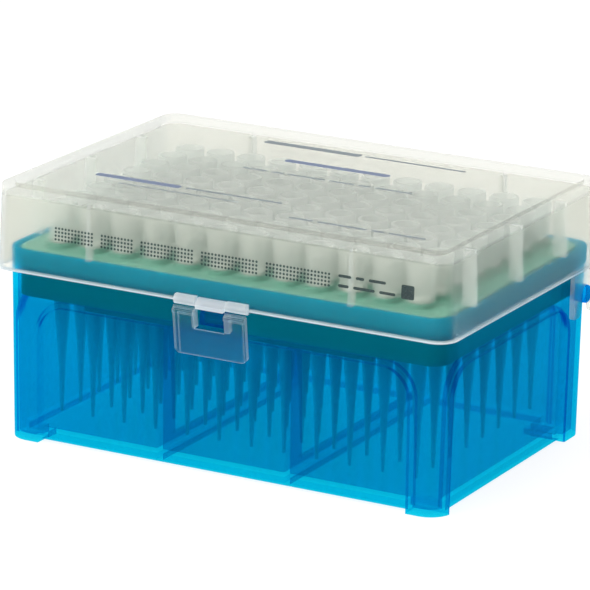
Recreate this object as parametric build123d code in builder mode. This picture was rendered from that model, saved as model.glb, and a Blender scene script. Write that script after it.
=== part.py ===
"""Box of pipette tips: a moulded rack base, a tip tray, filter tips and a hinged, latched lid.

Millimetres, +Z up. +X runs along the long side and -Y is the front, where the latch is. The
origin is at the bottom centre of the whole box; the tip grid stands GRID_Y behind it, because
the latch reaches further out than the back of the lid does.
"""

import os
from math import atan, cos, degrees, radians, sin, tan

from build123d import *

# ------------------------------------------------------------------ driving dimensions
PITCH = 9.0  # tip spacing, both ways
COLUMNS = 12
ROWS = 8

FOOT_X = 121.2  # outline of the base at its feet
FOOT_Y = 80.4
RIM_X = 122.4  # and at its rim, which gives the draft of its walls
RIM_Z = 49.2
BASE_CORNER = 6.0
BASE_WALL = 1.3
WALL_GAP = 0.7  # the walls end this far above the feet
FLOOR_TOP = 3.5
FLOOR_THICK = 1.2
FOOT_FLOOR = 1.5  # inside the corner columns, which are hollow down into the feet
RECESS = 1.5  # depth of the arched panels
ARCH_RADIUS = 7.5
ARCH_SOFT = 0.6  # rounding where the panels meet the outer walls
ARCH_HEAD = 35.6
FRONT_ARCH_HALF = 51.2
SIDE_ARCH_HALF = 31.8
SIDE_ARCH_MIDDLE = -3.0  # the rear columns are wider than the front ones, for the hinge pins
HOOP_X = 17.7  # the two ribs that divide the base into three bays
HOOP_THICK = 1.6
HOOP_FLOOR_TOP = 5.8
HOOP_TOP = 35.0
FLANGE_REACH = 0.7  # rear lip of the rim
FLANGE_HEIGHT = 4.4

LID_X = 125.8  # outline of the lid at its lower edge
LID_Y = 87.0
LID_BOTTOM = 44.2
LID_TOP = 65.8
LID_INSET = 0.95  # the draft of the lid, each side, over its height
LID_CORNER = 5.2
LID_WALL = 1.15
LID_RIM_WIDTH = 2.7
LID_RIM_HEIGHT = 1.4
LID_PANEL = 1.2
LID_RIB = 1.0
LID_RIB_BOTTOM = RIM_Z + 0.15
SIDE_RIB_REACH = 3.8
SIDE_RIB_Y = (-26.2, -1.2, 23.8)
END_RIB_X = 36.0
FRONT_RIB_REACH = 2.3
BACK_RIB_REACH = 3.0
BACK_RIB_BOTTOM = 51.6
RELIEF_HALF = 59.5  # the back wall is cut higher, so that the lid swings past upright
RELIEF_TOP = 46.8

PIN_Y = 33.5  # hinge axis, from the grid's centre
PIN_Z = 37.9
PIN_RADIUS = 2.3
PIN_CLEARANCE = 0.05
PIN_END_X = 63.6
EAR_OUTER_X = 62.88  # flush with the lower edge of the side walls
EAR_THICK = 1.15
EAR_FRONT = 26.5
EAR_BACK = 40.0
EAR_BOTTOM = 32.6
EAR_TOP = 45.0
EAR_MOUTH_HALF = 3.6
EAR_MOUTH_TOP = 35.4

LATCH_HALF = 9.9
LATCH_AXIS_Y = -45.3  # living hinge line, from the grid's centre
LATCH_AXIS_Z = 43.5
LATCH_LEAN = 7.5  # degrees, lower edge towards the base
LATCH_OUTER = 0.65  # faces of the flap, from the plane of the living hinge
LATCH_INNER = -0.55
LATCH_TOP = -0.4
LATCH_BOTTOM = -12.1
WEB_RADIUS = 0.15
NOTCH_HALF = 4.2
NOTCH_BOTTOM = -5.2
LATCH_WEB = 0.6  # thickness of the flap between its side rims
LATCH_RIM = 1.0
BOSS_HALF = 3.6
BOSS_REACH = -43.9
KNUCKLE_RADIUS = 1.25  # rounded ledge that carries the living hinge
KNUCKLE_Y = -44.2
KNUCKLE_Z = 44.95

TRAY_X = 117.6
TRAY_Y = 77.4
TRAY_CORNER = 4.2
TRAY_WALL = 1.3
TRAY_DECK = 1.4
TRAY_RING = 3.5  # radius and height of the raised ring round each tip hole
TRAY_RING_HEIGHT = 1.2
TRAY_SEAT = 0.05  # between its skirt and the ledges of the base
TONGUE_HALF = 39.8
TONGUE_Y = 36.8
TONGUE_BOTTOM = 35.05
TIP_HOLE_RADIUS = 2.85

TIP_TOP = 60.2
TIP_END = 6.2
COLLAR_HEIGHT = 1.1

# ------------------------------------------------------------------ worked out from them
BASE_DRAFT = degrees(atan((RIM_X - FOOT_X) / 2 / RIM_Z))
BASE_SLOPE = tan(radians(BASE_DRAFT))
RIM_Y = FOOT_Y + RIM_X - FOOT_X
LID_HEIGHT = LID_TOP - LID_BOTTOM
LID_SLOPE = LID_INSET / LID_HEIGHT
LID_DRAFT = degrees(atan(LID_SLOPE))
PANEL_TOP = LID_TOP - LID_RIM_HEIGHT
PANEL_UNDER = PANEL_TOP - LID_PANEL
LATCH_FRONT = LATCH_AXIS_Y - LATCH_OUTER - 0.35
GRID_Y = -(LATCH_FRONT + LID_Y / 2) / 2
GRID_HALF_X = PITCH * (COLUMNS - 1) / 2
GRID_HALF_Y = PITCH * (ROWS - 1) / 2


# ------------------------------------------------------------------ planes, about the tip grid
def level(z):
    """Level plane at height z."""
    return Plane(origin=(0, GRID_Y, z))


def facing_front(y):
    """Upright plane at depth y: local x is +X, local y is +Z, and it faces the front."""
    return Plane(origin=(0, GRID_Y + y, 0), x_dir=(1, 0, 0), z_dir=(0, -1, 0))


def facing_right(x):
    """Upright plane at x: local x is +Y, local y is +Z, and it faces +X."""
    return Plane(origin=(x, GRID_Y, 0), x_dir=(0, 1, 0), z_dir=(1, 0, 0))


def drafted_wall(turn, half_depth):
    """Plane on a drafted outer wall of the base. turn is the way it faces, in degrees from +X."""
    way = radians(turn)
    lean = radians(BASE_DRAFT)
    foot = (half_depth * cos(way), GRID_Y + half_depth * sin(way), 0)
    outward = (cos(way) * cos(lean), sin(way) * cos(lean), -sin(lean))
    return Plane(origin=foot, x_dir=(-sin(way), cos(way), 0), z_dir=outward)


def lid_half_x(z):
    """Half the outer width of the lid at height z."""
    return LID_X / 2 - (z - LID_BOTTOM) * LID_SLOPE


def lid_half_y(z):
    """Half the outer depth of the lid at height z."""
    return LID_Y / 2 - (z - LID_BOTTOM) * LID_SLOPE


# ------------------------------------------------------------------ rack base
PANELS = (
    (-90, FOOT_Y / 2, FRONT_ARCH_HALF, 0),
    (90, FOOT_Y / 2, FRONT_ARCH_HALF, 0),
    (0, FOOT_X / 2, SIDE_ARCH_HALF, SIDE_ARCH_MIDDLE),
    (180, FOOT_X / 2, SIDE_ARCH_HALF, -SIDE_ARCH_MIDDLE),
)
OUTSIDE = 4.0  # cutters start this far outside what they cut


def cut_arches(grow):
    """Cut the four arched panels, open at the bottom, grown all round and in depth by grow."""
    for turn, half_depth, half_width, middle in PANELS:
        left = middle - half_width - grow
        right = middle + half_width + grow
        top = ARCH_HEAD + grow
        low = -OUTSIDE
        with BuildSketch(drafted_wall(turn, half_depth).offset(OUTSIDE)) as arch:
            with BuildLine():
                FilletPolyline((left, low), (left, top), (right, top), (right, low), radius=ARCH_RADIUS + grow)
                Line((right, low), (left, low))
            make_face()
        extrude(arch.sketch, amount=-(OUTSIDE + RECESS + grow), mode=Mode.SUBTRACT)


def foot_corners(grow, mode):
    """The four foot corners, between the arches, with their inner sides moved in by grow."""
    far_x = FOOT_X / 2 + 2
    far_y = FOOT_Y / 2 + 2
    near_x = FRONT_ARCH_HALF - grow
    front_y = SIDE_ARCH_HALF - SIDE_ARCH_MIDDLE - grow
    rear_y = SIDE_ARCH_HALF + SIDE_ARCH_MIDDLE - grow
    for side, near_y in ((-1, front_y), (1, rear_y)):
        with Locations(*[(s * (near_x + far_x) / 2, side * (near_y + far_y) / 2) for s in (-1, 1)]):
            Rectangle(far_x - near_x, far_y - near_y, mode=mode)


def on_arch_outline(edge):
    """True for the edges where the arched panels meet the outer walls."""
    middle = edge @ 0.5
    if not 1 < middle.Z < ARCH_HEAD + 0.5:
        return False
    grown = middle.Z * BASE_SLOPE - 0.2
    across = middle.Y - SIDE_ARCH_MIDDLE
    if abs(middle.X) < FRONT_ARCH_HALF + 0.5:
        return abs(middle.Y) > FOOT_Y / 2 + grown
    return abs(across) < SIDE_ARCH_HALF + 0.5 and abs(middle.X) > FOOT_X / 2 + grown


with BuildPart() as base_hollow:
    inset = BASE_WALL - FLOOR_TOP * BASE_SLOPE
    with BuildSketch(level(FLOOR_TOP)):
        RectangleRounded(FOOT_X - 2 * inset, FOOT_Y - 2 * inset, BASE_CORNER - BASE_WALL)
    extrude(amount=RIM_Z - FLOOR_TOP + 1, taper=-BASE_DRAFT)
    with BuildSketch(level(FOOT_FLOOR)) as pockets:
        foot_corners(0, Mode.ADD)
        RectangleRounded(FOOT_X - 2 * inset, FOOT_Y - 2 * inset, BASE_CORNER - BASE_WALL, mode=Mode.INTERSECT)
    extrude(pockets.sketch, amount=FLOOR_TOP - FOOT_FLOOR + 0.2)
    cut_arches(BASE_WALL)

UNDER_X = FOOT_X - 2 * (RECESS + BASE_WALL)
UNDER_Y = FOOT_Y - 2 * (RECESS + BASE_WALL)
UNDER_TOP = FLOOR_TOP - FLOOR_THICK


with BuildPart() as rack_base:
    with BuildSketch(level(0)):
        RectangleRounded(FOOT_X, FOOT_Y, BASE_CORNER)
    extrude(amount=RIM_Z, taper=-BASE_DRAFT)
    # rear lip of the rim, under the back wall of the lid
    lip_depth = 4 * BASE_CORNER
    with BuildSketch(level(RIM_Z - FLANGE_HEIGHT)):
        with Locations((0, RIM_Y / 2 + FLANGE_REACH - lip_depth / 2)):
            RectangleRounded(RIM_X - 0.2, lip_depth, BASE_CORNER)
    extrude(amount=FLANGE_HEIGHT)
    cut_arches(0)
    fillet(rack_base.edges().filter_by(on_arch_outline), radius=ARCH_SOFT)
    add(base_hollow.part, mode=Mode.SUBTRACT)
    # open underside below the floor, with a foot left at each corner
    with BuildSketch(level(-1)):
        Rectangle(UNDER_X, UNDER_Y)
        foot_corners(BASE_WALL, Mode.SUBTRACT)
    extrude(amount=UNDER_TOP + 1, mode=Mode.SUBTRACT)
    with BuildSketch(level(-1)):
        Rectangle(FOOT_X + 2, FOOT_Y + 2)
        foot_corners(0, Mode.SUBTRACT)
    extrude(amount=WALL_GAP + 1, mode=Mode.SUBTRACT)
    # hoop ribs: up the front wall, across the floor and up the back wall
    wall_y = FOOT_Y / 2 - RECESS - BASE_WALL / 2
    for x in (-HOOP_X, HOOP_X):
        with BuildSketch(facing_right(x)):
            with Locations((0, (WALL_GAP + HOOP_TOP) / 2)):
                Rectangle(2 * wall_y, HOOP_TOP - WALL_GAP)
            with BuildLine():
                Polyline(
                    (-31.4, HOOP_FLOOR_TOP),
                    (-32.6, HOOP_TOP + 1),
                    (32.6, HOOP_TOP + 1),
                    (31.4, HOOP_FLOOR_TOP),
                    close=True,
                )
            make_face(mode=Mode.SUBTRACT)
        extrude(amount=HOOP_THICK / 2, both=True)
    # latch boss, with a ramp on top that lets the flap ride over it
    with BuildSketch(facing_right(0)):
        with BuildLine():
            Polyline(
                (-FOOT_Y / 2 + 0.3, 38.9),
                (BOSS_REACH, 39.1),
                (BOSS_REACH, 41.0),
                (BOSS_REACH + 1.5, 43.2),
                (-FOOT_Y / 2 + 0.3, 43.4),
                close=True,
            )
        make_face()
    extrude(amount=BOSS_HALF, both=True)
    boss_tip = rack_base.edges().group_by(Axis.Y)[0]
    fillet(boss_tip, radius=0.35)
    # hinge pins on the two side walls
    for side in (-1, 1):
        with BuildSketch(facing_right(side * (FOOT_X / 2 - 1))):
            with Locations((PIN_Y, PIN_Z)):
                Circle(PIN_RADIUS)
        extrude(amount=side * (PIN_END_X - FOOT_X / 2 + 1))
        pin_end = rack_base.edges().filter_by(GeomType.CIRCLE).sort_by(Axis.X)
        fillet(pin_end[-1] if side > 0 else pin_end[0], radius=0.7)
    # softened rim
    rim_edges = rack_base.faces().sort_by(Axis.Z)[-1].edges()
    fillet(rim_edges, radius=0.3)

# ------------------------------------------------------------------ tip tray
with BuildPart() as tip_tray:
    # its skirt stops on the ledges over the arches
    with BuildSketch(level(ARCH_HEAD + BASE_WALL + TRAY_SEAT)):
        RectangleRounded(TRAY_X, TRAY_Y, TRAY_CORNER)
    extrude(amount=RIM_Z - ARCH_HEAD - BASE_WALL - TRAY_SEAT)
    with BuildSketch(level(0)):
        RectangleRounded(TRAY_X - 2 * TRAY_WALL, TRAY_Y - 2 * TRAY_WALL, TRAY_CORNER - TRAY_WALL)
    extrude(amount=RIM_Z - TRAY_DECK, mode=Mode.SUBTRACT)
    # deeper tongues inside the front and back panels
    for side in (-1, 1):
        with BuildSketch(facing_front(side * (TONGUE_Y - TRAY_WALL / 2))):
            with Locations((0, (RIM_Z - 0.5 + TONGUE_BOTTOM) / 2)):
                Rectangle(2 * TONGUE_HALF, RIM_Z - 0.5 - TONGUE_BOTTOM)
        extrude(amount=TRAY_WALL / 2, both=True)
    deck_rim = tip_tray.faces().sort_by(Axis.Z)[-1].outer_wire().edges()
    fillet(deck_rim, radius=0.4)
    with BuildSketch(level(RIM_Z)):
        with GridLocations(PITCH, PITCH, COLUMNS, ROWS):
            Circle(TRAY_RING)
    extrude(amount=TRAY_RING_HEIGHT)
    with BuildSketch(level(RIM_Z + TRAY_RING_HEIGHT)):
        with GridLocations(PITCH, PITCH, COLUMNS, ROWS):
            Circle(TIP_HOLE_RADIUS)
    extrude(amount=-TRAY_RING_HEIGHT - 2 * TRAY_DECK, mode=Mode.SUBTRACT)

# ------------------------------------------------------------------ one tip and its filter
DECK = RIM_Z + TRAY_RING_HEIGHT
TIP_OUTSIDE = (
    (0.42, TIP_END),
    (0.95, 20.0),
    (1.95, 33.0),
    (2.35, 46.0),
    (2.62, DECK - 0.6),
    (2.62, DECK),
    (3.3, DECK),
    (3.45, DECK + 0.4),
    (3.3, DECK + COLLAR_HEIGHT),
    (3.72, TIP_TOP - 0.5),
    (3.6, TIP_TOP),
)
TIP_INSIDE = (
    (2.95, TIP_TOP),
    (2.45, DECK + COLLAR_HEIGHT),
    (2.05, 43.0),
    (1.45, 33.0),
    (0.55, 20.0),
    (0.24, TIP_END),
)
FILTER_TOP = DECK + 0.5
FILTER_BOTTOM = 43.6


def bore_radius(z):
    """Radius of the tip's bore at height z, between its two widest stations."""
    (r_high, z_high), (r_low, z_low) = TIP_INSIDE[1], TIP_INSIDE[2]
    return r_low + (r_high - r_low) * (z - z_low) / (z_high - z_low)


with BuildPart() as tip:
    with BuildSketch(Plane.XZ):
        with BuildLine():
            Polyline(*TIP_OUTSIDE, *TIP_INSIDE, close=True)
        make_face()
    revolve(axis=Axis.Z)

with BuildPart() as tip_filter:
    with BuildSketch(Plane.XZ):
        with BuildLine():
            Polyline(
                (0, FILTER_BOTTOM),
                (bore_radius(FILTER_BOTTOM) - 0.01, FILTER_BOTTOM),
                (bore_radius(FILTER_TOP) - 0.01, FILTER_TOP),
                (0, FILTER_TOP),
                close=True,
            )
        make_face()
    revolve(axis=Axis.Z)

# ------------------------------------------------------------------ lid
with BuildPart() as lid:
    with BuildSketch(level(LID_BOTTOM)):
        RectangleRounded(LID_X, LID_Y, LID_CORNER)
    extrude(amount=LID_HEIGHT, taper=LID_DRAFT)
    fillet(lid.faces().sort_by(Axis.Z)[-1].edges(), radius=0.6)
    with BuildSketch(level(LID_BOTTOM)):
        RectangleRounded(LID_X - 2 * LID_WALL, LID_Y - 2 * LID_WALL, LID_CORNER - LID_WALL)
    extrude(amount=PANEL_UNDER - LID_BOTTOM, taper=LID_DRAFT, mode=Mode.SUBTRACT)
    with BuildSketch(level(PANEL_TOP)):
        RectangleRounded(
            2 * (lid_half_x(LID_TOP) - LID_RIM_WIDTH),
            2 * (lid_half_y(LID_TOP) - LID_RIM_WIDTH),
            LID_CORNER - LID_INSET - 1.5,
        )
    extrude(amount=LID_RIM_HEIGHT + 1, mode=Mode.SUBTRACT)
    fillet(lid.edges().filter_by_position(Axis.Z, PANEL_TOP - 0.01, PANEL_TOP + 0.01), radius=0.5)
    # stiffening ribs on the side walls; they stand on the rim of the base
    for side in (-1, 1):
        outer = lid_half_x(LID_BOTTOM) - LID_WALL
        inner = lid_half_x(LID_BOTTOM) - LID_WALL - SIDE_RIB_REACH
        for y in SIDE_RIB_Y:
            with BuildSketch(facing_front(y)):
                with Locations((side * (outer + inner) / 2, (LID_RIB_BOTTOM + PANEL_TOP - 0.2) / 2)):
                    Rectangle(outer - inner, PANEL_TOP - 0.2 - LID_RIB_BOTTOM)
            extrude(amount=LID_RIB / 2, both=True)
    # shorter ribs on the front and back walls
    for side, reach, low in ((-1, FRONT_RIB_REACH, LID_RIB_BOTTOM), (1, BACK_RIB_REACH, BACK_RIB_BOTTOM)):
        outer = lid_half_y(LID_BOTTOM) - LID_WALL
        inner = lid_half_y(low) - LID_WALL - reach
        for x in (-END_RIB_X, END_RIB_X):
            with BuildSketch(facing_right(x)):
                with Locations((side * (outer + inner) / 2, (low + PANEL_TOP - 0.2) / 2)):
                    Rectangle(outer - inner, PANEL_TOP - 0.2 - low)
            extrude(amount=LID_RIB / 2, both=True)
    # relief along the back wall
    with BuildSketch(level(LID_BOTTOM - 1)):
        with Locations((0, LID_Y / 2)):
            Rectangle(2 * RELIEF_HALF, 4 * LID_WALL)
    extrude(amount=RELIEF_TOP - LID_BOTTOM + 1, mode=Mode.SUBTRACT)
    # hinge ears, slotted so that they snap down over the pins
    slot = PIN_RADIUS + PIN_CLEARANCE
    for side in (-1, 1):
        with BuildSketch(facing_right(side * EAR_OUTER_X)):
            with Locations(((EAR_FRONT + EAR_BACK) / 2, (EAR_BOTTOM + EAR_TOP) / 2)):
                Rectangle(EAR_BACK - EAR_FRONT, EAR_TOP - EAR_BOTTOM)
            with Locations((PIN_Y, PIN_Z)):
                Circle(slot, mode=Mode.SUBTRACT)
            with BuildLine():
                Polyline(
                    (PIN_Y - slot, PIN_Z),
                    (PIN_Y - slot, EAR_MOUTH_TOP),
                    (PIN_Y - EAR_MOUTH_HALF, EAR_BOTTOM - 1),
                    (PIN_Y + EAR_MOUTH_HALF, EAR_BOTTOM - 1),
                    (PIN_Y + slot, EAR_MOUTH_TOP),
                    (PIN_Y + slot, PIN_Z),
                    close=True,
                )
            make_face(mode=Mode.SUBTRACT)
        extrude(amount=-side * EAR_THICK)
    ear_tips = lid.edges().filter_by(Axis.X).filter_by_position(Axis.Z, EAR_BOTTOM - 0.01, EAR_BOTTOM + 0.01)
    fillet(ear_tips, radius=1.0)
    # two rounded knuckles that carry the living hinge, and a tab between them over the boss
    ledge_back = -lid_half_y(LID_BOTTOM) + 0.8
    knuckle_half = (LATCH_HALF - NOTCH_HALF) / 2
    for side in (-1, 1):
        with BuildSketch(facing_right(side * (NOTCH_HALF + knuckle_half))):
            with Locations((KNUCKLE_Y, KNUCKLE_Z)):
                Circle(KNUCKLE_RADIUS)
            with Locations(((KNUCKLE_Y + ledge_back) / 2, KNUCKLE_Z)):
                Rectangle(ledge_back - KNUCKLE_Y, 2 * KNUCKLE_RADIUS)
        extrude(amount=knuckle_half, both=True)
    with BuildSketch(facing_right(0)):
        with BuildLine():
            Polyline(
                (ledge_back, KNUCKLE_Z + 1.2),
                (KNUCKLE_Y, KNUCKLE_Z + 1.0),
                (KNUCKLE_Y - 1.35, KNUCKLE_Z - 0.35),
                (KNUCKLE_Y - 1.45, LATCH_AXIS_Z),
                (KNUCKLE_Y - 0.6, LATCH_AXIS_Z),
                (ledge_back, KNUCKLE_Z - 0.8),
                close=True,
            )
        make_face()
    extrude(amount=NOTCH_HALF - 0.4, both=True)

# ------------------------------------------------------------------ latch flap
LEAN = radians(LATCH_LEAN)
FLAP_PLANE = Plane(
    origin=(0, GRID_Y + LATCH_AXIS_Y, LATCH_AXIS_Z),
    x_dir=(1, 0, 0),
    z_dir=(0, -cos(LEAN), -sin(LEAN)),
)

with BuildPart() as latch_flap:
    with BuildSketch(FLAP_PLANE.offset(LATCH_INNER)):
        with BuildLine():
            FilletPolyline(
                (-LATCH_HALF, LATCH_TOP),
                (-LATCH_HALF, LATCH_BOTTOM),
                (LATCH_HALF, LATCH_BOTTOM),
                (LATCH_HALF, LATCH_TOP),
                radius=1.5,
            )
            Line((LATCH_HALF, LATCH_TOP), (-LATCH_HALF, LATCH_TOP))
        make_face()
    extrude(amount=LATCH_OUTER - LATCH_INNER)
    # thin between its side rims, which clears the boss as the lid lifts
    with BuildSketch(FLAP_PLANE.offset(LATCH_OUTER - LATCH_WEB)):
        with Locations((0, LATCH_BOTTOM / 2 - 1.7)):
            Rectangle(2 * (LATCH_HALF - LATCH_RIM), -LATCH_BOTTOM)
    extrude(amount=-2, mode=Mode.SUBTRACT)
    # raised band just below the living hinge
    with BuildSketch(FLAP_PLANE.offset(LATCH_OUTER - 0.1)):
        with Locations((0, LATCH_TOP - 0.75)):
            Rectangle(2 * LATCH_HALF, 0.9)
    extrude(amount=0.4)
    # guides on the inner face, either side of the notch
    for side in (-1, 1):
        with BuildSketch(FLAP_PLANE.offset(LATCH_INNER - 1.0)):
            with Locations((side * (NOTCH_HALF + 0.45), (NOTCH_BOTTOM + LATCH_TOP) / 2 - 0.3)):
                Rectangle(0.9, LATCH_TOP - NOTCH_BOTTOM - 0.6)
        extrude(amount=LATCH_OUTER - LATCH_INNER + 0.7)
    # film of the living hinge
    with BuildSketch(Plane(FLAP_PLANE.origin, x_dir=(0, 1, 0), z_dir=(1, 0, 0))):
        Circle(WEB_RADIUS)
        with Locations((0, LATCH_TOP / 2 - 0.05)):
            Rectangle(2 * WEB_RADIUS, -LATCH_TOP + 0.1)
    extrude(amount=LATCH_HALF, both=True)
    # notch over the boss
    with BuildSketch(FLAP_PLANE.offset(LATCH_INNER - 2)):
        with Locations((0, (NOTCH_BOTTOM + 1) / 2)):
            Rectangle(2 * NOTCH_HALF, 1 - NOTCH_BOTTOM)
    extrude(amount=5, mode=Mode.SUBTRACT)

# ------------------------------------------------------------------ columns of tips, and export
PIECES = {"rack_base": rack_base.part, "tip_tray": tip_tray.part, "lid": lid.part, "latch_flap": latch_flap.part}

for column in range(COLUMNS):
    x = column * PITCH - GRID_HALF_X
    spots = [(x, GRID_Y + row * PITCH - GRID_HALF_Y) for row in range(ROWS)]
    with BuildPart() as tip_column:
        with Locations(*spots):
            add(tip.part)
    with BuildPart() as filter_column:
        with Locations(*spots):
            add(tip_filter.part)
    PIECES[f"tips_column_{column + 1:02d}"] = tip_column.part
    PIECES[f"filters_column_{column + 1:02d}"] = filter_column.part

os.makedirs("parts", exist_ok=True)
for name, shape in PIECES.items():
    shape.label = name
    export_step(shape, f"parts/{name}.step")
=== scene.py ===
"""Box of pipette tips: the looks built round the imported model. Metres, in the model's own frame."""

import math

import bmesh
import bpy
from mathutils import Matrix, Vector


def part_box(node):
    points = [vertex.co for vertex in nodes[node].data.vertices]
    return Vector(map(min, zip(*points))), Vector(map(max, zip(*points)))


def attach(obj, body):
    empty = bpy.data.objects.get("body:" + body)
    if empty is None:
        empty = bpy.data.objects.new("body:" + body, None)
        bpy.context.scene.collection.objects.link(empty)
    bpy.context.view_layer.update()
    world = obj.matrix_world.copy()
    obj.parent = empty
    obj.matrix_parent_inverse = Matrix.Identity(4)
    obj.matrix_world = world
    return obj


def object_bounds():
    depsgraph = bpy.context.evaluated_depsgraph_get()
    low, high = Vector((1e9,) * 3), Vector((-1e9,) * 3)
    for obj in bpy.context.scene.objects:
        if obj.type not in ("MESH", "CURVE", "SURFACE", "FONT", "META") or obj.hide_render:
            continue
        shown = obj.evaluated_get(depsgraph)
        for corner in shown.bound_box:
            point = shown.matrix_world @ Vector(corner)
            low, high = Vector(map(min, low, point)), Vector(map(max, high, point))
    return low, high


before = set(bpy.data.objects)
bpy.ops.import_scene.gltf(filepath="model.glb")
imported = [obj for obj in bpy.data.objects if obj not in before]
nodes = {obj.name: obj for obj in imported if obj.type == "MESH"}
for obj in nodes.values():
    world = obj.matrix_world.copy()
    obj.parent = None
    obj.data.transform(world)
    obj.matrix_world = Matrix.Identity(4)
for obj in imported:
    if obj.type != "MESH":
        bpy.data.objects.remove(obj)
cad_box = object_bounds()
tray_low, tray_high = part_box("tip_tray")
# the middle of the lid, tray and base; the latch puts it off the origin
MIDDLE_Y = (tray_low[1] + tray_high[1]) / 2

scene = bpy.context.scene
scene.view_settings.view_transform = "Standard"

# ------------------------------------------------------------------ places on the CAD pieces
FLOOR_ZONE = (0.006, 0.008)  # heights between which the base's floor gives way to its walls
ARCH_HEAD = (0.0365, 0.0368)  # top of the sunk panels
LID_SHADE_BAND = (0.036, 0.039)  # heights over the panels above which the haze of the base's walls drops: painted shade under the lid's lower edge
RIM = (0.0435, 0.0455)  # where the rolled rim of the base starts, behind the foot of the lid
PANEL_X = 0.0546  # how far out the rounded edges of the end panels reach
PANEL_Y = 0.0342  # and those of the front and back panels
PANEL_SOFT = 0.0006
PIN_X = 0.0617  # the hinge pins are solid beyond this
BOSS_HALF = 0.0037
BOSS_FRONT = (0.0416, 0.0414)  # the boss stands out of the front wall there
BOSS_TOP = (0.0436, 0.0437)
SKIRT = (0.0445, 0.048)  # the tray's skirt, which gets painted shade, gives way to its deck
COLLAR = (0.04, 0.05)  # the tips' thin part gives way to their collars
LID_LOW = 0.0442
LID_TOP = cad_box[1][2]
LID_PANEL = LID_TOP - 0.0014  # the sunk panel in the top of the lid
LID_FOOT = ((0.0441, 0.0442), (0.0445, 0.0448))  # start and end of the lid's lower edge
LID_BORDER = (0.0628, 0.0635)  # where the walls of the lid give way to its top panel
LID_SHOULDER = (0.0625, 0.064)
RIB_FOOT = (0.0488, 0.0493)
RIB_SIDE_Y = 0.03  # the ribs of the end walls lie within this
RIB_END_X = 0.04  # and those of the front and back walls within this
KNUCKLE = (0.0438, 0.0436)  # the hinge knuckles stand out of the lid's front wall there
LID_HALF_LOW = 0.0435  # half depth of the lid at its lower edge and at its top
LID_HALF_HIGH = 0.04255
LID_SLOPE = math.atan2(LID_HALF_LOW - LID_HALF_HIGH, LID_TOP - LID_LOW)


# ------------------------------------------------------------------ camera
def aim(azimuth, elevation, distance, lens, roll, target):
    """Camera at that angle round target, looking at it, rolled by roll degrees."""
    a, e, r = (math.radians(v) for v in (azimuth, elevation, roll))
    out = Vector((math.sin(a) * math.cos(e), -math.cos(a) * math.cos(e), math.sin(e)))
    right = Vector((math.cos(a), math.sin(a), 0))
    up = out.cross(right)
    data = bpy.data.cameras.new("camera")
    data.lens = lens
    data.sensor_width = 36
    data.clip_start = 0.01
    data.clip_end = 20
    cam = bpy.data.objects.new("camera", data)
    x = right * math.cos(r) + up * math.sin(r)
    y = up * math.cos(r) - right * math.sin(r)
    place = Vector(target) + out * distance
    cam.matrix_world = Matrix((
        (x.x, y.x, out.x, place.x),
        (x.y, y.y, out.y, place.y),
        (x.z, y.z, out.z, place.z),
        (0, 0, 0, 1),
    ))
    scene.collection.objects.link(cam)
    scene.camera = cam


aim(28.19, 16.42, 1.079, 265.2, 1.08, (-0.00074, 0.00073, 0.03617))


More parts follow.
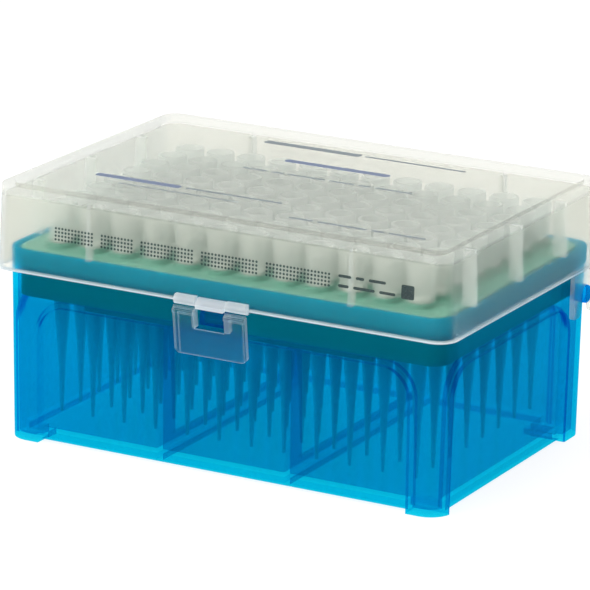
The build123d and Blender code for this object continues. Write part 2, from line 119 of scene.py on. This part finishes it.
# ------------------------------------------------------------------ node helpers
class Tree:
    """The node tree of a new material or world, with short calls to add and join nodes."""

    def __init__(self, name, kind="materials"):
        self.owner = getattr(bpy.data, kind).new(name)
        self.owner.use_nodes = True
        self.tree = self.owner.node_tree
        self.tree.nodes.clear()

    def add(self, kind, inputs=None, **settings):
        node = self.tree.nodes.new(kind)
        for key, value in settings.items():
            setattr(node, key, value)
        for key, value in (inputs or {}).items():
            self.feed(node.inputs[key], value)
        return node

    def feed(self, socket, value):
        """Link value to the socket where it is a node or a socket, else set it."""
        if isinstance(value, bpy.types.NodeSocket):
            self.tree.links.new(value, socket)
        elif isinstance(value, bpy.types.Node):
            self.tree.links.new(value.outputs[0], socket)
        else:
            socket.default_value = value

    def mix(self, share, first, second):
        """Mix of two shaders."""
        return self.add("ShaderNodeMixShader", {0: share, 1: first, 2: second})

    def blend(self, share, first, second):
        """Mix of two colours."""
        inputs = {0: share, 6: first, 7: second}
        return self.add("ShaderNodeMix", inputs, data_type="RGBA").outputs[2]

    def place(self):
        """Object coordinates, in metres."""
        return self.add("ShaderNodeTexCoord").outputs["Object"]

    def noise(self, size, detail=2.0):
        """Noise with features about size metres across."""
        inputs = {"Vector": self.place(), "Scale": 1 / size, "Detail": detail}
        return self.add("ShaderNodeTexNoise", inputs).outputs[0]

    def grain(self, noise, start, end, low=0.3, high=0.7):
        """The noise, which mostly lies in low..high, taken to start..end."""
        return self.ramp(noise, (low, high), start, end)

    def ramp(self, value, span, start, end):
        """value from the span's ends to start..end, held beyond them."""
        inputs = {
            "Value": value, "From Min": span[0], "From Max": span[1],
            "To Min": start, "To Max": end,
        }
        return self.add("ShaderNodeMapRange", inputs).outputs[0]

    def parts(self, source):
        """X, Y, Z of the Object or Normal texture coordinate."""
        vector = self.add("ShaderNodeTexCoord").outputs[source]
        return self.add("ShaderNodeSeparateXYZ", {"Vector": vector}).outputs

    def math(self, operation, first, second=0.0):
        return self.add("ShaderNodeMath", {0: first, 1: second}, operation=operation).outputs[0]

    def size(self, value):
        return self.math("ABSOLUTE", value)

    def beyond(self, value, edge, soft):
        """1 where value, without its sign, is beyond edge, else 0."""
        return self.ramp(self.size(value), (edge, edge + soft), 0.0, 1.0)

    def within(self, value, edge, soft):
        """1 where value, without its sign, is within edge, else 0."""
        return self.ramp(self.size(value), (edge - soft, edge), 1.0, 0.0)

    def fold(self, operation, first, *others):
        """That operation over all the values."""
        for other in others:
            first = self.math(operation, first, other)
        return first

    def all(self, *values):
        return self.fold("MULTIPLY", *values)

    def any(self, *values):
        return self.fold("MAXIMUM", *values)

    def bump(self, height, strength):
        inputs = {"Height": height, "Strength": strength, "Distance": 0.0002}
        return self.add("ShaderNodeBump", inputs).outputs[0]

    def facing(self):
        """0 where the surface is seen square on, 1 along its outline."""
        return self.add("ShaderNodeLayerWeight", {"Blend": 0.5}).outputs["Facing"]

    def clear(self, tint):
        return self.add("ShaderNodeBsdfTransparent", {"Color": tint})

    def haze(self, share, colour):
        """Scattering plastic, which passes that share of its light on."""
        return self.mix(
            share,
            self.add("ShaderNodeBsdfDiffuse", {"Color": colour}),
            self.add("ShaderNodeBsdfTranslucent", {"Color": colour}),
        )

    def plastic(self, inputs):
        return self.add("ShaderNodeBsdfPrincipled", inputs)

    def lit_through(self, shader, tint):
        """Lets lamps through: shadow rays pass with that tint."""
        seen = self.add("ShaderNodeLightPath")
        return self.mix(seen.outputs["Is Shadow Ray"], shader, self.clear(tint))

    def seen_directly(self):
        """1 for rays from the camera, straight or by way of gloss or glass."""
        rays = self.add("ShaderNodeLightPath").outputs
        return self.any(rays["Is Camera Ray"], rays["Is Transmission Ray"], rays["Is Glossy Ray"])

    def finish(self, shader, volume=None):
        out = self.add("ShaderNodeOutputMaterial", {"Surface": shader})
        if volume:
            self.feed(out.inputs["Volume"], volume)
        return self.owner


def rgb(r, g, b):
    """sRGB 0..255 to a linear colour."""
    def line(v):
        v /= 255
        return v / 12.92 if v <= 0.04045 else ((v + 0.055) / 1.055) ** 2.4

    return (line(r), line(g), line(b), 1)


WHITE = (1, 1, 1, 1)


def wear(name, material):
    """Give a CAD node that material alone."""
    for slot in nodes[name].material_slots:
        slot.link = "OBJECT"
        slot.material = material


# ------------------------------------------------------------------ materials
def blue_plastic():
    """The base: clear blue with some haze, deeper where it is thick."""
    t = Tree("blue_plastic")
    cloud = t.noise(0.02)
    fine = t.noise(0.0012, 3.0)
    at = t.parts("Object")
    normal = t.parts("Normal")
    # the floor is clearer than the walls; the rolled top edge gets painted light, a brighter teal and
    # more haze standing in for the light that the frosted lid scatters onto it
    flat = t.all(t.beyond(normal["Z"], 0.9, 0.05), t.ramp(at["Z"], FLOOR_ZONE, 1.0, 0.0))
    rim_painted_light = t.ramp(at["Z"], RIM, 0.0, 1.0)
    # deeper colour along the rounded edges of the arched panels, where no axis is faced squarely:
    # painted shade for the darker look that the curved plastic takes on there
    square = t.any(t.size(normal["X"]), t.size(normal["Y"]), t.size(normal["Z"]))
    panel_edge_painted_shade = t.all(
        t.ramp(square, (0.94, 0.99), 1.0, 0.0),
        t.any(t.within(at["X"], PANEL_X, PANEL_SOFT), t.within(at["Y"], PANEL_Y, PANEL_SOFT)),
        t.ramp(at["Z"], ARCH_HEAD, 1.0, 0.0),
    )
    # and in the solid pins and boss
    boss = t.all(
        t.within(at["X"], BOSS_HALF, 0.0001),
        t.ramp(at["Y"], [MIDDLE_Y - y for y in BOSS_FRONT], 1.0, 0.0),
        t.ramp(at["Z"], BOSS_TOP, 1.0, 0.0),
    )
    solid = t.any(t.beyond(at["X"], PIN_X, 0.0001), boss)

    tint = t.blend(t.grain(cloud, 0.0, 1.0), (0.03, 0.84, 0.95, 1), (0.03, 0.86, 0.96, 1))
    tint = t.blend(flat, tint, (0.15, 0.94, 0.985, 1))
    tint = t.blend(panel_edge_painted_shade, tint, (0.0, 0.34, 0.72, 1))
    tint = t.blend(solid, tint, (0.0, 0.5, 0.9, 1))
    # painted light: a brighter teal on the rolled top edge of the base
    colour = t.blend(rim_painted_light, rgb(0, 160, 226), rgb(0, 186, 212))
    colour = t.blend(solid, colour, rgb(0, 125, 225))

    # painted light: more haze on the rolled top edge
    cloudy = t.math("ADD", t.grain(fine, 0.18, 0.23), t.ramp(rim_painted_light, (0.0, 1.0), 0.0, 0.35))
    # painted shade under the lid's lower edge: the haze drops to 0.3 over the panels; painted light
    # on the rolled top edge: the haze comes back to full
    wall = t.math("ADD", t.ramp(at["Z"], LID_SHADE_BAND, 1.0, 0.3), t.ramp(at["Z"], RIM, 0.0, 0.7))
    cloudy = t.all(
        cloudy, wall,
        t.ramp(flat, (0.0, 1.0), 1.0, 0.35),
        t.ramp(panel_edge_painted_shade, (0.0, 1.0), 1.0, 0.4),
    )
    body = t.mix(cloudy, t.clear(tint), t.haze(0.6, colour))
    gloss = t.add("ShaderNodeBsdfGlossy", {
        "Color": rgb(30, 190, 240),
        "Roughness": t.grain(fine, 0.1, 0.16),
        "Normal": t.bump(fine, 0.03),
    })
    body = t.mix(t.ramp(t.facing(), (0.5, 1.0), 0.03, 0.3), body, gloss)
    depth = t.add("ShaderNodeVolumeAbsorption", {"Color": (0.0, 0.7, 0.9, 1), "Density": 130.0})
    return t.finish(t.lit_through(body, rgb(150, 242, 252)), depth)


def milky_plastic(name, first, second, straight, is_lid):
    """Milky clear plastic between two tints; straight is the share of light that crosses
    a face without being scattered."""
    t = Tree(name)
    cloud = t.noise(0.02)
    fine = t.noise(0.0008, 3.0)
    at = t.parts("Object")
    normal = t.parts("Normal")
    colour = t.blend(t.grain(cloud, 0.0, 1.0), first, second)
    # the walls of the lid are rougher than its top panel, and than its ears and the flap below
    soft = t.all(t.ramp(at["Z"], LID_SHOULDER, 0.1, 0.0), t.ramp(at["Z"], RIM, 0.0, 1.0))
    white = t.ramp(t.facing(), (0.6, 1.0), 0.015, 0.3)  # share of white haze, to which painted highlights are added below
    if is_lid:
        # the end walls are a little thicker and deeper in colour
        colour = t.blend(t.beyond(normal["X"], 0.9, 0.05), colour, rgb(221, 225, 216))
        # the top panel scatters less than the walls, under a faint veil
        straight = t.ramp(at["Z"], LID_BORDER, straight, 0.87)
        veil = t.ramp(at["Z"], LID_BORDER, 0.0, 0.07)
        # painted highlight: a thin band of white haze along the lid's lower edge
        start, end = LID_FOOT
        lid_edge_painted_highlight = t.all(t.ramp(at["Z"], start, 0.0, 0.85), t.ramp(at["Z"], end, 1.0, 0.0))
        # painted highlight: white haze on the hinge knuckles
        knuckle_painted_highlight = t.ramp(at["Y"], [MIDDLE_Y - y for y in KNUCKLE], 0.75, 0.0)
        side_rib = t.all(t.beyond(normal["Y"], 0.8, 0.1), t.within(at["Y"], RIB_SIDE_Y, 0.001))
        end_rib = t.all(t.beyond(normal["X"], 0.8, 0.1), t.within(at["X"], RIB_END_X, 0.001))
        rib = t.all(t.any(side_rib, end_rib), t.ramp(at["Z"], RIB_FOOT, 0.0, 0.45))
        white = t.any(white, lid_edge_painted_highlight, knuckle_painted_highlight, rib, veil)
    else:
        # painted highlight: white haze on the flap's end faces and its top and bottom faces
        flap_edge_painted_highlight = t.any(t.beyond(normal["X"], 0.8, 0.1), t.beyond(normal["Z"], 0.8, 0.1))
        white = t.any(white, t.ramp(flap_edge_painted_highlight, (0.0, 1.0), 0.0, 0.3))
    body = t.plastic({
        "Base Color": colour, "Roughness": t.math("ADD", t.grain(fine, 0.3, 0.34), soft),
        "IOR": 1.15, "Specular IOR Level": 0.03, "Specular Tint": (0.5, 0.85, 1, 1),
        "Transmission Weight": 1.0,
    })
    body = t.mix(straight, body, t.clear(t.blend(0.7, colour, WHITE)))
    body = t.mix(white, body, t.haze(0.5, rgb(244, 246, 248)))
    return t.finish(t.lit_through(body, rgb(250, 251, 250)))


def green_plastic():
    """The tray: mint green, with a thinner skirt under the deck that is darkened by painted shade."""
    t = Tree("green_plastic")
    cloud = t.noise(0.02)
    fine = t.noise(0.001, 3.0)
    height = t.parts("Object")["Z"]
    colour = t.blend(t.grain(cloud, 0.0, 1.0), rgb(106, 164, 148), rgb(114, 170, 154))
    # painted shade: the skirt under the deck goes to a dark green, for the shadow it lies in
    colour = t.blend(t.ramp(height, SKIRT, 1.0, 0.0), colour, rgb(54, 120, 92))
    return t.finish(t.plastic({
        "Base Color": colour, "Roughness": t.grain(fine, 0.3, 0.4), "IOR": 1.49,
        "Normal": t.bump(fine, 0.06),
    }))


def tip_plastic():
    """The tips: thin whitish plastic, a little denser in the thin part."""
    t = Tree("tip_plastic")
    fine = t.noise(0.001)
    height = t.parts("Object")["Z"]
    colour = t.blend(t.grain(fine, 0.0, 1.0), rgb(236, 239, 238), rgb(243, 245, 244))
    body = t.plastic({
        "Base Color": colour, "Roughness": t.grain(fine, 0.2, 0.3), "IOR": 1.49,
    })
    glow = t.add("ShaderNodeBsdfTranslucent", {"Color": colour})
    share = t.ramp(height, COLLAR, 0.58, 0.6)
    return t.finish(t.mix(share, t.mix(0.6, body, glow), t.clear((0.97, 0.98, 0.98, 1))))


def filter_foam():
    t = Tree("filter_foam")
    grain = t.noise(0.0006, 4.0)
    colour = t.blend(t.grain(grain, 0.0, 1.0), rgb(226, 226, 220), rgb(246, 246, 242))
    return t.finish(t.plastic({
        "Base Color": colour, "Roughness": 0.9, "Normal": t.bump(grain, 0.4),
    }))


def ink(name, first, second):
    """Slightly worn print between two tones, too thin to throw a shadow."""
    t = Tree(name)
    grain = t.noise(0.0005, 3.0)
    body = t.plastic({
        "Base Color": t.blend(t.grain(grain, 0.0, 1.0, 0.35, 0.65), first, second),
        "Roughness": t.grain(grain, 0.5, 0.7),
    })
    worn = t.mix(t.grain(grain, 0.1, 0.6, 0.55, 0.75), body, t.clear(WHITE))
    return t.finish(t.lit_through(worn, rgb(250, 250, 250)))


wear("rack_base", blue_plastic())
wear("lid", milky_plastic(
    "frosted_plastic", rgb(234, 234, 222), rgb(238, 238, 227), straight=0.7, is_lid=True))
wear("latch_flap", milky_plastic(
    "clear_flap", rgb(236, 251, 250), rgb(240, 253, 252), straight=0.6, is_lid=False))
wear("tip_tray", green_plastic())
TIP = tip_plastic()
FOAM = filter_foam()
for name in nodes:
    if name.startswith("tips_"):
        wear(name, TIP)
    if name.startswith("filters_"):
        wear(name, FOAM)


# ------------------------------------------------------------------ printed fields on the lid
MM = 0.001
INK_LOW = 0.01 * MM  # the ink starts and ends this far from the face it is printed on
INK_HIGH = 0.04 * MM
CORNER_STEPS = 3


def outline(x, y, width, height, corner):
    """Points round a rectangle whose corners are rounded."""
    corner = min(corner, width / 2, height / 2)
    ring = []
    for quarter, (sx, sy) in enumerate(((1, 1), (-1, 1), (-1, -1), (1, -1))):
        cx = x + sx * (width / 2 - corner)
        cy = y + sy * (height / 2 - corner)
        for k in range(CORNER_STEPS + 1):
            turn = math.pi / 2 * (quarter + k / CORNER_STEPS)
            ring.append((cx + corner * math.cos(turn), cy + corner * math.sin(turn)))
    return ring


def printed(name, shapes, place, material):
    """Rounded flat shapes (x, y, width, height, corner), in mm, a hair proud of the lid."""
    bm = bmesh.new()
    for shape in shapes:
        ring = outline(*shape)
        low, high = (
            [bm.verts.new(place @ Vector((u * MM, v * MM, lift))) for u, v in ring]
            for lift in (INK_LOW, INK_HIGH)
        )
        bm.faces.new(high)
        bm.faces.new(low[::-1])
        for k in range(len(ring)):
            n = (k + 1) % len(ring)
            bm.faces.new((low[k], low[n], high[n], high[k]))
    # the ends of two corners meet on a round end
    bmesh.ops.remove_doubles(bm, verts=bm.verts, dist=1e-7)
    mesh = bpy.data.meshes.new(name)
    bm.to_mesh(mesh)
    bm.free()
    mesh.materials.append(material)
    ob = bpy.data.objects.new(name, mesh)
    scene.collection.objects.link(ob)
    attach(ob, "lid")


def lid_front(z):
    """Places flat shapes on the front wall of the lid, with y = 0 at height z."""
    half = LID_HALF_LOW - (z - LID_LOW) * math.tan(LID_SLOPE)
    turn = Matrix.Rotation(math.pi / 2 - LID_SLOPE, 4, "X")
    return Matrix.Translation((0, MIDDLE_Y - half, z)) @ turn


def dots(start, groups, rows, pitch, size):
    """Groups of round dots in a few rows, with a two-column gap between groups."""
    shapes = []
    x = start
    for columns in groups:
        for _ in range(columns):
            for row in range(rows):
                shapes.append((x, (row - (rows - 1) / 2) * pitch, size, size, size / 2))
            x += pitch
        x += 2 * pitch
    return shapes


def dashes(start, end, y, lengths, height):
    """Dashes of those relative lengths from start to end."""
    gap = 1.2
    unit = (end - start - gap * (len(lengths) - 1)) / sum(lengths)
    shapes = []
    x = start
    for length in lengths:
        shapes.append((x + length * unit / 2, y, length * unit, height, height / 2))
        x += length * unit + gap
    return shapes


DARK = ink("dark_ink", rgb(28, 46, 48), rgb(52, 74, 74))
BLUE = ink("blue_ink", rgb(96, 112, 146), rgb(120, 134, 160))
GREY = ink("grey_ink", rgb(112, 124, 132), rgb(138, 148, 152))
front = lid_front(0.0555)
small = dashes(33.4, 46.0, 1.4, (3, 2, 4), 0.7) + dashes(33.4, 48.6, -1.0, (2, 4, 3), 0.7)
printed("print_front_dots", dots(-44.4, (12, 10, 16, 17, 19), 4, 0.93, 0.62), front, DARK)
printed("print_front_small", small, front, DARK)
printed("print_front_square", [(51.8, 0.1, 3.4, 3.4, 0.4)], front, DARK)
top = Matrix.Translation((0, MIDDLE_Y, LID_PANEL))
bar = [(-14.4, 33.0, 27.6, 2.6, 0.8), (14.8, 33.0, 28.4, 1.0, 0.5)]
fine_lines = [(-9.0, -17.8, 27.0, 1.0, 0.5), (-22.0, -22.4, 34.0, 0.6, 0.3)]
printed("print_top_bar", bar, top, GREY)
printed("print_top_band", [(0.0, 19.0, 29.4, 2.4, 0.8)], top, BLUE)
printed("print_top_dashes", dashes(-20.4, 27.2, 7.2, (2, 1, 3, 2, 1, 3), 0.9), top, GREY)
printed("print_top_left", [(-36.0, -17.8, 24.0, 2.4, 0.8)], top, BLUE)
printed("print_top_left_fine", fine_lines, top, GREY)
printed("print_top_right", dashes(11.8, 48.7, -28.0, (2, 4, 1, 3), 1.1), top, GREY)


# ------------------------------------------------------------------ studio
def studio_floor():
    """A pale floor that shows white to the camera and keeps the object's shadow."""
    t = Tree("studio_floor")
    grain = t.noise(0.05)
    lit, shown = (
        t.add("ShaderNodeBsdfDiffuse", {"Color": t.blend(grain, (v, v, v, 1), (w, w, w, 1))})
        for v, w in ((0.8, 0.82), (0.27, 0.29))
    )
    lift = t.add("ShaderNodeEmission", {"Color": WHITE, "Strength": 0.84})
    shown = t.add("ShaderNodeAddShader", {0: shown, 1: lift})
    material = t.finish(t.mix(t.seen_directly(), lit, shown))
    half = 4.0
    corners = [(-half, -half, 0), (half, -half, 0), (half, half, 0), (-half, half, 0)]
    mesh = bpy.data.meshes.new("studio_floor")
    mesh.from_pydata(corners, [], [(0, 1, 2, 3)])
    mesh.materials.append(material)
    floor = bpy.data.objects.new("studio_floor", mesh)
    scene.collection.objects.link(floor)


def studio_world():
    """Soft light from all round, which the camera sees as white."""
    t = Tree("studio", "worlds")
    light, shown = (
        t.add("ShaderNodeBackground", {"Color": WHITE, "Strength": strength})
        for strength in (0.4, 1.0)
    )
    t.add("ShaderNodeOutputWorld", {"Surface": t.mix(t.seen_directly(), light, shown)})
    scene.world = t.owner


def lamp(name, place, power, size):
    """A square lamp that points at the middle of the object."""
    data = bpy.data.lights.new(name, "AREA")
    data.energy = power
    data.size = size
    ob = bpy.data.objects.new(name, data)
    ob.location = place
    way = Vector((0, 0, 0.03)) - Vector(place)
    ob.rotation_euler = way.to_track_quat("-Z", "Y").to_euler()
    scene.collection.objects.link(ob)


studio_floor()
studio_world()
lamp("key", (-0.3, -0.5, 1.1), 7.0, 0.9)
lamp("front", (-0.5, -1.2, 0.35), 4.5, 0.8)
lamp("back", (0.2, 0.9, 0.9), 5.0, 0.9)
